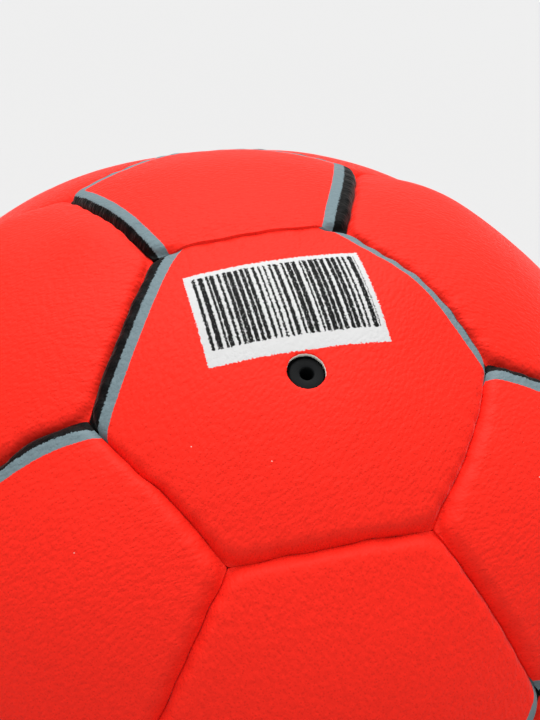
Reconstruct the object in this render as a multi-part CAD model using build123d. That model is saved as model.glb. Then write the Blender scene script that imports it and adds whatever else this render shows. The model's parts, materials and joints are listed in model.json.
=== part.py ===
# Hand-stitched handball: turned-edge cover panels over foam and lining, a bladder and a plug valve.
# The frame is in millimetres with its origin at the ball's centre. +Z runs through the middle of
# the top pentagon panel, and the valve panel is the upper hexagon that faces -Y.
from build123d import *

import os
from itertools import combinations
from math import acos, atan, cos, degrees, pi, radians, sin, sqrt, tan

# Ball and its cover laminate
BALL_DIAMETER = 175.0  # over the crowns of two opposite panels
CROWN_RADIUS = 70.0  # a panel bulges more than the ball itself
COVER_THICKNESS = 1.3  # synthetic leather
FOAM_THICKNESS = 3.0  # under the middle of a panel
LINING_THICKNESS = 1.2  # laminated cloth
GLUE_LINE = 0.1  # between bonded layers

# Turned-in panel edges and their stitching
SEAM_GAP = 0.3  # between two facing panel edges
EDGE_ROUND = 3.0  # roll of the cover into the seam
CORNER_EXTRA = 0.8  # how much rounder a panel's corner is than its rolled edge
FLANGE_BELOW_LINING = 2.0  # turned-in edge that stands inside the lining
THREAD_DIAMETER = 0.8
THREAD_CLEARANCE = 0.1  # round the thread, in its holes and along the turned-in edges
THREAD_BEND = 0.6  # radius of the thread's centre line
STITCH_PITCH = 4.0
STITCH_COUNT = 7  # holes along one panel edge
THREAD_TAIL = 1.4  # past the last hole
STITCH_ABOVE_TIP = 1.6  # from the tip of the turned-in edge to the row of holes

# Bladder
BLADDER_WALL = 0.9
BLADDER_CLEARANCE = 0.3  # inside the tips of the turned-in edges

# Valve
VALVE_SIDEWAYS = 1.2  # to the right of the middle of its panel, seen from outside
VALVE_BELOW = 0.9  # below the middle of its panel
VALVE_HOLE_DIAMETER = 6.9  # through the valve panel
VALVE_HEAD_DIAMETER = 6.2
VALVE_HEAD_THICKNESS = 1.0
VALVE_HEAD_CHAMFER = 0.2
VALVE_RECESS = 1.2  # head below the panel's crown
VALVE_STEM_DIAMETER = 4.4
VALVE_STEM_LENGTH = 14.0
VALVE_TIP_CHAMFER = 0.6
VALVE_FIT = 0.05  # radial, stem in its seat
VALVE_SEATING = 0.1  # under the head
NEEDLE_BORE_DIAMETER = 2.3
NEEDLE_BORE_LENGTH = 9.0
NEEDLE_SLIT_WIDTH = 0.2
NEEDLE_SLIT_BREADTH = 1.8
SEAT_BOSS_DIAMETER = 6.2
SEAT_POCKET_DIAMETER = 8.0
SEAT_FLANGE_DIAMETER = 24.0
SEAT_FLANGE_THICKNESS = 1.4
SEAT_STEM_REVEAL = 1.0  # stem that stands out of the pocket's inner end
PATCH_DIAMETER = 32.0
PATCH_THICKNESS = 0.5

# Radii from the ball's centre, outside to inside
BALL_RADIUS = BALL_DIAMETER / 2
FOAM_TOP = BALL_RADIUS - COVER_THICKNESS - GLUE_LINE
FOAM_FLOOR = FOAM_TOP - FOAM_THICKNESS
LINING_TOP = FOAM_FLOOR - GLUE_LINE
LINING_FLOOR = LINING_TOP - LINING_THICKNESS
FLANGE_TIP = LINING_FLOOR - FLANGE_BELOW_LINING
STITCH_RADIUS = FLANGE_TIP + STITCH_ABOVE_TIP
BLADDER_OUTSIDE = FLANGE_TIP - BLADDER_CLEARANCE
BLADDER_INSIDE = BLADDER_OUTSIDE - BLADDER_WALL
CROWN_CENTRE = BALL_RADIUS - CROWN_RADIUS  # along a panel's own axis

# Distances in from the seam's own plane
COVER_INSET = SEAM_GAP / 2
FLANGE_INSET = COVER_INSET + COVER_THICKNESS
THREAD_INSET = FLANGE_INSET + THREAD_CLEARANCE + THREAD_DIAMETER / 2
FILL_INSET = THREAD_INSET + THREAD_DIAMETER / 2 + THREAD_CLEARANCE

STITCH_HOLE_DIAMETER = THREAD_DIAMETER + 2 * THREAD_CLEARANCE
STITCH_ANGLE = degrees(STITCH_PITCH / STITCH_RADIUS)

# Heights on the valve's axis, which is parallel to its panel's axis
VALVE_TOP = BALL_RADIUS - VALVE_RECESS
VALVE_SHOULDER = VALVE_TOP - VALVE_HEAD_THICKNESS
VALVE_END = VALVE_SHOULDER - VALVE_STEM_LENGTH
SEAT_TOP = VALVE_SHOULDER - VALVE_SEATING
SEAT_END = VALVE_END + SEAT_STEM_REVEAL
SEAT_FLANGE_FLOOR = BLADDER_OUTSIDE + GLUE_LINE
SEAT_FLANGE_TOP = SEAT_FLANGE_FLOOR + SEAT_FLANGE_THICKNESS
PATCH_TOP = LINING_FLOOR - GLUE_LINE
VALVE_AXIS_AT = Pos(-VALVE_BELOW, -VALVE_SIDEWAYS, 0)  # the valve panel's local +X points up

# Icosahedron whose corners, cut off at a third of each edge, give the panel pattern
RING_LATITUDE = degrees(atan(1 / 2))
RING_SECTOR = 72
FIRST_RING_AZIMUTH = -90 - RING_SECTOR / 2  # the valve panel faces -Y


def direction(azimuth, latitude):
    """Unit vector at an azimuth and a latitude in degrees."""
    a, b = radians(azimuth), radians(latitude)
    return Vector(cos(b) * cos(a), cos(b) * sin(a), sin(b))


def icosahedron():
    """The twelve corner directions: the top, the upper ring, the lower ring and the bottom."""
    upper = [direction(FIRST_RING_AZIMUTH + RING_SECTOR * k, RING_LATITUDE) for k in range(5)]
    lower = [
        direction(FIRST_RING_AZIMUTH + RING_SECTOR * (k + 1 / 2), -RING_LATITUDE) for k in range(5)
    ]
    return [Vector(0, 0, 1), *upper, *lower, Vector(0, 0, -1)]


CORNERS = icosahedron()
NEIGHBOUR_DOT = 1 / sqrt(5)
ROUNDING = 1e-6
TOUCHING = {
    (i, j)
    for i, j in combinations(range(len(CORNERS)), 2)
    if abs(CORNERS[i].dot(CORNERS[j]) - NEIGHBOUR_DOT) < ROUNDING
}
TRIANGLES = [
    triple
    for triple in combinations(range(len(CORNERS)), 3)
    if set(combinations(triple, 2)) <= TOUCHING
]


def angle_between(a, b):
    """Angle in degrees between two directions."""
    return degrees(acos(a.normalized().dot(b.normalized())))


def seam_middle(near, left, right):
    """Direction of the middle of the seam between a pentagon and the hexagon beside it."""
    return (near * 4 + left + right).normalized()


TOP, FRONT_LEFT, FRONT_RIGHT = CORNERS[0], CORNERS[1], CORNERS[2]
VALVE_PANEL_AXIS = (TOP + FRONT_LEFT + FRONT_RIGHT).normalized()
PENTAGON_HALF_ANGLE = angle_between(TOP, seam_middle(TOP, FRONT_LEFT, FRONT_RIGHT))
HEXAGON_HALF_ANGLE = angle_between(VALVE_PANEL_AXIS, TOP + FRONT_LEFT)


def panel_place(axis, towards):
    """Location that stands a panel on its axis, with local +X towards a neighbour."""
    across = towards - axis * towards.dot(axis)
    return Plane(origin=(0, 0, 0), x_dir=across.normalized(), z_dir=axis).location


def wedge(sides, half_angle, inset):
    """Flat-walled wedge under one panel, with each wall that far inside its seam plane."""

    def ring(height):
        apothem = height * tan(radians(half_angle)) - inset / cos(radians(half_angle))
        radius = apothem / cos(pi / sides)
        turns = [2 * pi / sides * (k + 1 / 2) for k in range(sides)]
        return [Vector(radius * cos(turn), radius * sin(turn), height) for turn in turns]

    low, high = ring(BLADDER_INSIDE / 2), ring(BALL_RADIUS + CROWN_RADIUS / 2)
    outlines = [low, high]
    outlines += [[low[k - 1], low[k], high[k], high[k - 1]] for k in range(sides)]
    return Solid(Shell([Face(Wire.make_polygon(outline)) for outline in outlines]))


def crowned_block(sides, half_angle, inset, drop, corner, edge):
    """Solid wedge with rounded corners, a crown that far below the cover's and a rolled top edge."""
    block = wedge(sides, half_angle, inset)
    slanted = block.edges().filter_by(lambda e: abs((e @ 1 - e @ 0).Z) > ROUNDING)
    block = fillet(slanted, corner)
    block &= Pos(0, 0, CROWN_CENTRE) * Sphere(CROWN_RADIUS - drop)
    crown = block.faces().filter_by(GeomType.SPHERE).sort_by(Axis.Z)[-1]
    return fillet(crown.edges(), edge)


def shell_between(block, outer, inner):
    """The part of a block that lies between two spheres about the ball's centre."""
    kept = block if outer is None else block & Sphere(outer)
    return kept - Sphere(inner)


def seam_frames(sides, half_angle):
    """Places in the middle of each seam of a panel: X along the seam, Y across it, Z outwards."""
    for k in range(sides):
        yield Rot(0, 0, 360 / sides * k) * Rot(0, half_angle, 0) * Rot(0, 0, 90)


def stitch_holes(sides, half_angle):
    """Pins for the stitch holes through a panel's turned-in edges."""
    length = 2 * (FLANGE_INSET + THREAD_INSET)
    pin = Rot(90, 0, 0) * Cylinder(STITCH_HOLE_DIAMETER / 2, length)
    turns = [STITCH_ANGLE * (k - (STITCH_COUNT - 1) / 2) for k in range(STITCH_COUNT)]
    return [
        frame * Rot(0, turn, 0) * Pos(0, 0, STITCH_RADIUS) * pin
        for frame in seam_frames(sides, half_angle)
        for turn in turns
    ]


def cover_panel(sides, half_angle):
    """Tray of cover material: crowned face, rolled edge and the turned-in edge with its holes."""
    corner = EDGE_ROUND + CORNER_EXTRA
    outside = crowned_block(sides, half_angle, COVER_INSET, 0, corner, EDGE_ROUND)
    inside = crowned_block(
        sides,
        half_angle,
        FLANGE_INSET,
        COVER_THICKNESS,
        corner - COVER_THICKNESS,
        EDGE_ROUND - COVER_THICKNESS,
    )
    tray = shell_between(outside, None, FLANGE_TIP) - inside
    return tray - stitch_holes(sides, half_angle)


def fill_block(sides, half_angle):
    """What fills a cover tray, before it is cut into foam and lining."""
    drop = COVER_THICKNESS + GLUE_LINE
    corner = EDGE_ROUND + CORNER_EXTRA - COVER_THICKNESS
    return crowned_block(sides, half_angle, FILL_INSET, drop, corner, EDGE_ROUND - COVER_THICKNESS)


def foam_pad(sides, half_angle):
    """Foam under one cover panel, thickest in the middle."""
    return shell_between(fill_block(sides, half_angle), None, FOAM_FLOOR)


def lining_piece(sides, half_angle):
    """Laminated cloth under one foam pad."""
    return shell_between(fill_block(sides, half_angle), LINING_TOP, LINING_FLOOR)


def seam_thread():
    """Running stitch of one seam: through both turned-in edges at each hole, along one at a time."""
    tail = degrees(THREAD_TAIL / STITCH_RADIUS)

    def at(turn, side):
        a = radians(turn)
        return (STITCH_RADIUS * sin(a), side * THREAD_INSET, STITCH_RADIUS * cos(a))

    first = -STITCH_ANGLE * (STITCH_COUNT - 1) / 2
    side = 1
    points = [at(first - tail, side)]
    for k in range(STITCH_COUNT):
        turn = first + STITCH_ANGLE * k
        points += [at(turn, side), at(turn, -side)]
        side = -side
    points.append(at(-first + tail, side))
    path = FilletPolyline(*points, radius=THREAD_BEND)
    section = Plane(path @ 0, z_dir=path % 0) * Circle(THREAD_DIAMETER / 2)
    return sweep(section, path=path)


def seam_places():
    """All ninety seams, each as the two panels that it joins and the place of its middle."""
    for i, j in sorted(TOUCHING):
        panels = [("hexagon", triangle) for triangle in TRIANGLES if {i, j} <= set(triangle)]
        middle = (CORNERS[i] + CORNERS[j]).normalized()
        yield panels, panel_place(middle, CORNERS[j] - CORNERS[i])
    for triangle in TRIANGLES:
        for near in triangle:
            left, right = [CORNERS[k] for k in triangle if k != near]
            middle = seam_middle(CORNERS[near], left, right)
            yield [("pentagon", near), ("hexagon", triangle)], panel_place(middle, right - left)


def panel_axis(kind, key):
    """Axis of a panel: an icosahedron corner, or the middle of one of its triangles."""
    if kind == "pentagon":
        return CORNERS[key]
    return sum((CORNERS[k] for k in key), Vector()).normalized()


def bladder():
    """Round air bladder with the hole for its valve seat."""
    hole_radius = SEAT_POCKET_DIAMETER / 2 + GLUE_LINE
    hole = VALVE_AXIS_AT * Pos(0, 0, BLADDER_OUTSIDE) * Cylinder(hole_radius, BLADDER_OUTSIDE)
    return Sphere(BLADDER_OUTSIDE) - Sphere(BLADDER_INSIDE) - hole


def post(diameter, low, high):
    """Upright cylinder between two heights."""
    return Pos(0, 0, low) * Cylinder(
        diameter / 2, high - low, align=(Align.CENTER, Align.CENTER, Align.MIN)
    )


def bowed_disc(diameter, top, floor):
    """Round disc that follows the ball between two radii."""
    column = VALVE_AXIS_AT * post(diameter, floor / 2, top)
    return (Sphere(top) & column) - Sphere(floor)


def valve_seat():
    """Moulded seat bonded to the bladder: a flange, a boss into the panel's hole and a pocket."""
    bore = post(VALVE_STEM_DIAMETER + 2 * VALVE_FIT, SEAT_END / 2, SEAT_TOP + VALVE_SEATING)
    boss = post(SEAT_BOSS_DIAMETER, SEAT_END, SEAT_TOP)
    pocket = post(SEAT_POCKET_DIAMETER, SEAT_END, SEAT_FLANGE_FLOOR)
    flange = bowed_disc(SEAT_FLANGE_DIAMETER, SEAT_FLANGE_TOP, SEAT_FLANGE_FLOOR)
    return flange + VALVE_AXIS_AT * (boss + pocket) - VALVE_AXIS_AT * bore


def valve_core():
    """Push-in rubber plug with a needle bore that ends in a slit."""
    head, stem, bore = VALVE_HEAD_DIAMETER / 2, VALVE_STEM_DIAMETER / 2, NEEDLE_BORE_DIAMETER / 2
    bore_end = VALVE_TOP - NEEDLE_BORE_LENGTH
    outline = Polyline(
        (0, VALVE_END),
        (stem - VALVE_TIP_CHAMFER, VALVE_END),
        (stem, VALVE_END + VALVE_TIP_CHAMFER),
        (stem, VALVE_SHOULDER),
        (head, VALVE_SHOULDER),
        (head, VALVE_TOP - VALVE_HEAD_CHAMFER),
        (head - VALVE_HEAD_CHAMFER, VALVE_TOP),
        (bore, VALVE_TOP),
        (bore, bore_end),
        (0, bore_end),
        close=True,
    )
    plug = revolve(Plane.XZ * make_face(outline), Axis.Z)
    slit = Box(NEEDLE_SLIT_WIDTH, NEEDLE_SLIT_BREADTH, 2 * (bore_end - VALVE_END))
    return VALVE_AXIS_AT * (plug - Pos(0, 0, VALVE_END) * slit)


def valve_patch():
    """Cloth patch that stiffens the lining round the valve."""
    disc = bowed_disc(PATCH_DIAMETER, PATCH_TOP, PATCH_TOP - PATCH_THICKNESS)
    return disc - VALVE_AXIS_AT * post(VALVE_HOLE_DIAMETER, 0, BALL_DIAMETER)


def write(name, *solids):
    """Writes one node."""
    shape = solids[0] if len(solids) == 1 else Compound(children=list(solids))
    export_step(shape, f"parts/{name}.step")


def write_panels():
    """Covers one by one; foam pads and linings of like panels in groups, the valve panel's apart."""
    pentagon = (5, PENTAGON_HALF_ANGLE)
    hexagon = (6, HEXAGON_HALF_ANGLE)
    valve_place = panel_place(VALVE_PANEL_AXIS, TOP)
    valve_hole = VALVE_AXIS_AT * post(VALVE_HOLE_DIAMETER, 0, BALL_DIAMETER)
    hexagon_places = [panel_place(panel_axis("hexagon", t), CORNERS[t[0]]) for t in TRIANGLES[1:]]
    pentagon_places = [
        panel_place(CORNERS[i], next(panel_axis("hexagon", t) for t in TRIANGLES if i in t))
        for i in range(len(CORNERS))
    ]
    for layer, make in {"cover": cover_panel, "foam": foam_pad, "lining": lining_piece}.items():
        six, five = make(*hexagon), make(*pentagon)
        with_hole = valve_place * (six - valve_hole)
        sixes = [place * six for place in hexagon_places]
        fives = [place * five for place in pentagon_places]
        if layer == "cover":
            write("valve_panel", with_hole)
            for number, solid in enumerate(sixes, 2):
                write(f"hexagon_panel_{number:02d}", solid)
            for number, solid in enumerate(fives, 1):
                write(f"pentagon_panel_{number:02d}", solid)
        else:
            write(f"valve_panel_{layer}", with_hole)
            write(f"hexagon_{layer}_pieces", *sixes)
            write(f"pentagon_{layer}_pieces", *fives)


def write_threads():
    """Thread of the upper half, of the lower half and of the seam that closes the two."""
    thread = seam_thread()
    halves = {"upper_half_thread": [], "lower_half_thread": [], "closing_thread": []}
    for panels, place in seam_places():
        above = [panel_axis(*panel).Z > 0 for panel in panels]
        half = "closing_thread"
        if all(above):
            half = "upper_half_thread"
        elif not any(above):
            half = "lower_half_thread"
        halves[half].append(place * thread)
    for name, solids in halves.items():
        write(name, *solids)


def write_valve_and_bladder():
    """Everything that stands on the valve's axis."""
    place = panel_place(VALVE_PANEL_AXIS, TOP)
    for make in (bladder, valve_seat, valve_core, valve_patch):
        write(make.__name__, place * make())


os.makedirs("parts", exist_ok=True)
write_panels()
write_threads()
write_valve_and_bladder()
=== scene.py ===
"""Hand-stitched handball: its padded cover panels, their print, the push-in valve and a studio."""

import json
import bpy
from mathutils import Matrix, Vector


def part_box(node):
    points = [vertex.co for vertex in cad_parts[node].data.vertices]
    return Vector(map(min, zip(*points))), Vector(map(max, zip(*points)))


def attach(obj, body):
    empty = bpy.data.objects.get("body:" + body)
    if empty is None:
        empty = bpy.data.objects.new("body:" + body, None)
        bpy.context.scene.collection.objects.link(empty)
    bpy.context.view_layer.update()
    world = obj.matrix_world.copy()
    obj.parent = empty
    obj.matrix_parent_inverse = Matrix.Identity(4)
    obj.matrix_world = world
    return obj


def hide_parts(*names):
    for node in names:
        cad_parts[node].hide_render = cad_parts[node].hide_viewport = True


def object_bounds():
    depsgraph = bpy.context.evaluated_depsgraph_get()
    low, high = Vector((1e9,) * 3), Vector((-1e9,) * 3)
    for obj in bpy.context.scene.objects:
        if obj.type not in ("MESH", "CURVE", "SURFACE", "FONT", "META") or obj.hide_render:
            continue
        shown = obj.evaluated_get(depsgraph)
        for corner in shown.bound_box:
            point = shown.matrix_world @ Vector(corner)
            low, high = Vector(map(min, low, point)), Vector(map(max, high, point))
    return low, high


bl_info = {
    "name": "Stitched Handball",
    "version": (1, 0, 0),
    "blender": (4, 5, 0),
    "location": "3D View > Sidebar > Handball",
    "description": "Dresses a hand-stitched handball in grained cover panels and lights it",
    "category": "Add Mesh",
}

from itertools import combinations
from math import acos, atan, cos, pi, radians, sin, sqrt, tan

import bmesh
import bpy
import numpy as np
from bpy.props import FloatProperty, FloatVectorProperty, IntProperty, PointerProperty
from mathutils import Matrix, Vector, noise

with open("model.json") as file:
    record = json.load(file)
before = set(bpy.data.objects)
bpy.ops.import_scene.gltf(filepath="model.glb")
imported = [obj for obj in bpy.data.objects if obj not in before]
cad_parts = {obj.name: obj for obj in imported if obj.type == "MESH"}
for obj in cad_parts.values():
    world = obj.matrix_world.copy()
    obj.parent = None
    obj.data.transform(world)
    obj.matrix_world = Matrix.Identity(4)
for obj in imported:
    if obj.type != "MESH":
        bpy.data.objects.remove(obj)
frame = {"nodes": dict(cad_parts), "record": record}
CAD_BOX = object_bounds()

MM = 0.001
BALL_BODY = "ball"
VALVE_BODY = "valve"
VALVE_PANEL = "valve_panel"
NEEDLE_BORE = next(m for m in frame["record"]["mounts"] if m["name"] == "needle_bore")
VALVE_AXIS = np.array(NEEDLE_BORE["axis"])
NEEDLE_AXIS_POINT = np.array(NEEDLE_BORE["pos_m"])

# How steeply a panel's edge rolls in low on the ball and near its top, where it also sinks less
SOFT_ROLL, TIGHT_ROLL = 2.0, 4.5
TIGHT_FROM, TIGHT_RAMP, TIGHT_LIFT = 0.55, 0.2, 0.35

# Share of a corner's rounding by which it sinks, and of a level seam's length over which it fades
CORNER_SINK = 0.25
LEVEL_FADE = 0.12

# Swells of the filling fade out this close to a seam
SWELL_FADE = 4 * MM

# Waver of the cover beside the seams: size, swell and reach in millimetres, and the first noise used
SEAM_WAVERS = ((0.45, 26, 9, 3), (0.4, 5, 3, 6))

# Low swells of the whole cover: size and spacing in millimetres, and the noise used
COVER_SWELLS = ((0.10, 14, 1), (0.04, 5, 2))

# Puckers run out past the last stitch, counted in stitches, and each is drawn in by a share of its own
STITCH_ROW_END, STITCH_ROW_FADE = 0.3, 0.6
WEAKEST_PULL, STRONGEST_PULL = 0.3, 1.1

# Reaches about the valve's hole, as shares of its radius: finer grid, opening, rim and smoothing
FINER_REACH, OPEN_REACH, RIM_REACH, SMOOTH_REACH = 1.9, 1.07, 1.5, 1.8
LEAST_FRAY, MOST_FRAY = 0.985, 1.02
SMOOTH_PASSES = 8

# Painted shade in the valve's hole, a dark ring where the layers lie in shadow: how far below the top of
# the ball it ends, and where it fades about the axis
HOLE_SHADE_BELOW_TOP = 0.65 * MM
HOLE_SHADE_OUTER, HOLE_SHADE_INNER = 4.6 * MM, 4.4 * MM

# Soft lights: name, direction towards it, spread in degrees and strength
SOFT_LIGHTS = (
    ("overhead", (0.12, 0.25, 1.0), 70, 4.35),
    ("front", (-0.25, -0.7, 0.65), 90, 0.56),
)
SURROUNDINGS_STRENGTH = 0.33
FLOOR_RADIUS = 6.0
SENSOR_WIDTH = 36.0

# Depth in millimetres that no printed stripe reaches
NO_STRIPE = 99.0

TURNED_RINGS = 4
MERGE_DISTANCE = 1e-6


def length_setting(name, description, millimetres):
    """A length, given in millimetres."""
    return FloatProperty(name=name, description=description, default=millimetres * MM, unit="LENGTH")


def angle_setting(name, description, degrees):
    """An angle, given in degrees."""
    return FloatProperty(name=name, description=description, default=radians(degrees), subtype="ANGLE")


def colour_setting(name, description, default):
    """A colour."""
    return FloatVectorProperty(
        name=name, description=description, default=default, subtype="COLOR", size=3
    )


class CoverShape(bpy.types.PropertyGroup):
    """Form of the cover panels."""

    ball_diameter: FloatProperty(
        name="Ball diameter",
        description="Across the crowns of two opposite panels",
        default=CAD_BOX[1].z - CAD_BOX[0].z,
        unit="LENGTH",
    )
    crown_radius: length_setting("Crown radius", "Bulge of one panel", 70)
    seam_gap: length_setting("Seam gap", "Between two facing panel edges", 0.04)
    edge_round: length_setting("Edge round", "How far from the seam the cover starts to roll in", 2.8)
    roll_depth: length_setting("Roll depth", "How far the cover drops where it rolls into the seam", 2.2)
    corner_round: length_setting("Corner round", "Radius of a panel's corners down in the seam", 0.5)
    corner_blend: length_setting(
        "Corner blend", "How softly two rolled edges run into each other at a corner", 1.3
    )
    wall: length_setting("Wall", "Thickness of the cover material", 1)
    flange_tip: length_setting(
        "Turned edge tip", "Distance from the ball's centre to the tip of a turned-in edge", 80
    )
    stitch_radius: length_setting(
        "Stitch line", "Distance from the ball's centre to the row of stitches", 81.4
    )
    thread_diameter: length_setting("Thread", "Diameter of the waxed thread", 0.8)
    thread_inset: length_setting(
        "Thread inset", "From the seam's plane to the thread that runs along it", 1.95
    )
    thread_bend: length_setting("Thread bend", "Radius of the thread where it turns into a hole", 0.6)
    thread_tail: length_setting("Thread tail", "Thread past the last hole of a seam", 1.4)
    stitch_pitch: length_setting("Stitch pitch", "Between two stitches along a seam", 4)
    stitch_count: IntProperty(
        name="Stitches",
        description="Stitches along one panel edge",
        default=7,
        min=1,
    )
    pucker_depth: length_setting("Pucker depth", "How far a stitch draws the cover in", 0.3)
    pucker_reach: length_setting("Pucker reach", "How far from the seam a pucker shows", 3)
    mesh_cuts: IntProperty(
        name="Mesh cuts",
        description="Cuts along each edge of a panel's mesh",
        default=55,
        min=8,
    )


class CoverFinish(bpy.types.PropertyGroup):
    """Colours of the cover and its print."""

    red: colour_setting("Cover red", "Colour of the cover material", (0.93, 0.024, 0.013))
    grey: colour_setting("Stripe grey", "Colour of the inner stripe", (0.15, 0.205, 0.225))
    black: colour_setting(
        "Print black", "Colour of the outer stripe and the printed bars", (0.0025, 0.0025, 0.0025)
    )
    white: colour_setting("Print white", "Colour of the printed block", (0.55, 0.55, 0.55))
    backing: colour_setting(
        "Backing", "Colour of the cloth behind the cover, where it is cut", (1.0, 0.95, 0.86)
    )
    black_width: length_setting(
        "Black stripe", "From the bottom of the rolled edge to the grey stripe", 3.7
    )
    grey_width: length_setting("Grey stripe", "Width of the grey stripe", 2.05)


class PrintedBlock(bpy.types.PropertyGroup):
    """Printed white block with plain bars on the valve panel."""

    width: length_setting("Width", "Width of the block", 32.3)
    height: length_setting("Height", "Height of the block", 20.75)
    sideways: length_setting("Sideways", "Middle of the block, to the right of the panel's middle", 0.9)
    above: length_setting("Above", "Middle of the block, above the panel's middle", 13.45)
    turn: angle_setting("Turn", "Tilt of the block", 1.7)
    bar_pitch: length_setting("Bar pitch", "Mean distance between two printed bars", 1.06)


class ValveShape(bpy.types.PropertyGroup):
    """Push-in rubber plug."""

    hole_diameter: length_setting("Panel hole", "Hole for the valve in its panel", 6.65)
    hole_offset: length_setting(
        "Hole offset", "How far the hole in the panel lies to the left of the plug's axis", 0.2
    )
    head_diameter: length_setting("Head", "Diameter of the plug's head", 6.55)
    face_diameter: length_setting("Face", "Flat face of the head, inside its bevelled rim", 5.8)
    head_thickness: length_setting("Head thickness", "Thickness of the plug's head", 1)
    stem_diameter: length_setting("Stem", "Diameter of the plug's stem", 4.4)
    rubber: colour_setting("Rubber", "Colour of the valve's rubber", (0.004, 0.0046, 0.005))


class StudioSetup(bpy.types.PropertyGroup):
    """Camera, floor and lights."""

    camera_at: FloatVectorProperty(
        name="Camera",
        description="Place of the camera",
        default=(-72.0 * MM, -334.4 * MM, 201.5 * MM),
        subtype="TRANSLATION",
        unit="LENGTH",
    )
    camera_heading: angle_setting("Heading", "Turn of the view to the right of +Y", 13.39)
    camera_dip: angle_setting("Dip", "Tilt of the view below the horizontal", 24.23)
    camera_roll: angle_setting("Roll", "Turn of the picture about the line of sight", -1.72)
    lens: FloatProperty(
        name="Lens",
        description="Focal length of the camera in millimetres, on a 36 mm sensor",
        default=96.0,
    )
    backdrop: colour_setting("Backdrop", "Colour behind the ball", (0.863, 0.863, 0.863))
    floor: colour_setting("Floor", "Colour of the pale floor", (0.470, 0.470, 0.470))


def unit(vector):
    """The vector at length one."""
    return np.asarray(vector, float) / np.linalg.norm(vector)


def icosahedron():
    """Corner directions of the icosahedron that gives the panel pattern, top first, bottom last."""
    latitude, sector = atan(1 / 2), radians(72)
    first = radians(-90) - sector / 2
    rings = [(latitude, first), (-latitude, first + sector / 2)]
    corners = [(0, 0, 1)]
    for height, start in rings:
        for k in range(5):
            azimuth = start + sector * k
            corners.append((cos(height) * cos(azimuth), cos(height) * sin(azimuth), sin(height)))
    return np.array(corners + [(0, 0, -1)])


PENTAGON_AXES = icosahedron()
NEIGHBOUR_DOT = 1 / sqrt(5)
HEXAGON_AXES = np.array(
    [
        unit(sum(triple))
        for triple in combinations(PENTAGON_AXES, 3)
        if all(abs(a @ b - NEIGHBOUR_DOT) < 1e-6 for a, b in combinations(triple, 2))
    ]
)
PANEL_AXES = np.vstack([PENTAGON_AXES, HEXAGON_AXES])
HEXAGON_HALF_ANGLE = acos(unit(PENTAGON_AXES[0] + PENTAGON_AXES[1]) @ HEXAGON_AXES[0])
PENTAGON_HALF_ANGLE = acos(HEXAGON_AXES[0] @ PENTAGON_AXES[0]) - HEXAGON_HALF_ANGLE


class PanelPlace:
    """Where one panel stands: its axis, its local frame, its edges and their neighbours."""

    def __init__(self, node):
        low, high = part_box(node)
        self.node = node
        self.index = int(np.argmax(PANEL_AXES @ unit((low + high) / 2)))
        self.is_pentagon = self.index < len(PENTAGON_AXES)
        self.sides = 5 if self.is_pentagon else 6
        self.half_angle = PENTAGON_HALF_ANGLE if self.is_pentagon else HEXAGON_HALF_ANGLE
        self.axis = PANEL_AXES[self.index]
        beside = HEXAGON_AXES if self.is_pentagon else PENTAGON_AXES
        nearest = beside[np.argmax(np.round(beside @ self.axis, 6) + beside[:, 2] * 1e-7)]
        self.across = unit(nearest - self.axis * (nearest @ self.axis))
        self.frame = np.array([self.across, np.cross(self.axis, self.across), self.axis])
        self.edge_turns = [2 * pi / self.sides * k for k in range(self.sides)]
        self.neighbours = [self.neighbour(turn) for turn in self.edge_turns]

    def neighbour(self, turn):
        """Index of the panel beyond the edge at that turn."""
        middle = np.array([cos(turn) * tan(self.half_angle), sin(turn) * tan(self.half_angle), 1])
        nearness = PANEL_AXES @ (middle @ self.frame)
        nearness[self.index] = -1
        return int(np.argmax(nearness))


def panel_places():
    """Place of every cover panel, by the name of its node."""
    names = sorted(frame["nodes"])
    panels = [n for n in names if n == VALVE_PANEL or "_panel_" in n and n[-1].isdigit()]
    return {node: PanelPlace(node) for node in panels}


def panel_at(direction):
    """Index of the panel that a direction from the ball's centre goes through."""
    return int(np.argmax(PANEL_AXES @ unit(direction)))


TOP = (0, 0, 1)

# Seams that lie almost level with their panels, and how much of the roll is filled
LEVEL_SEAMS = {frozenset((panel_at(TOP), panel_at(VALVE_AXIS))): 0.95}

# Uneven filling under a panel: direction of its middle, height and reach in millimetres
SWELLS = (
    ((-0.52, 0.04, 0.85), 3.7, 13),
    ((-0.29, -0.15, 0.94), 1.4, 9),
    ((0.49, 0.06, 0.87), 1.1, 12),
    ((0.25, -0.44, 0.86), 1.2, 11),
    ((0.0, 0.25, 0.97), -0.5, 15),
    (NEEDLE_AXIS_POINT, -0.35, 6),
)

# Print that lies a little off its panel's middle: direction of the panel, move in millimetres
PRINT_MOVES = ((TOP, (-0.9, -0.4, 0)), (VALVE_AXIS, (0.8, 0, 0)))

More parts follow.
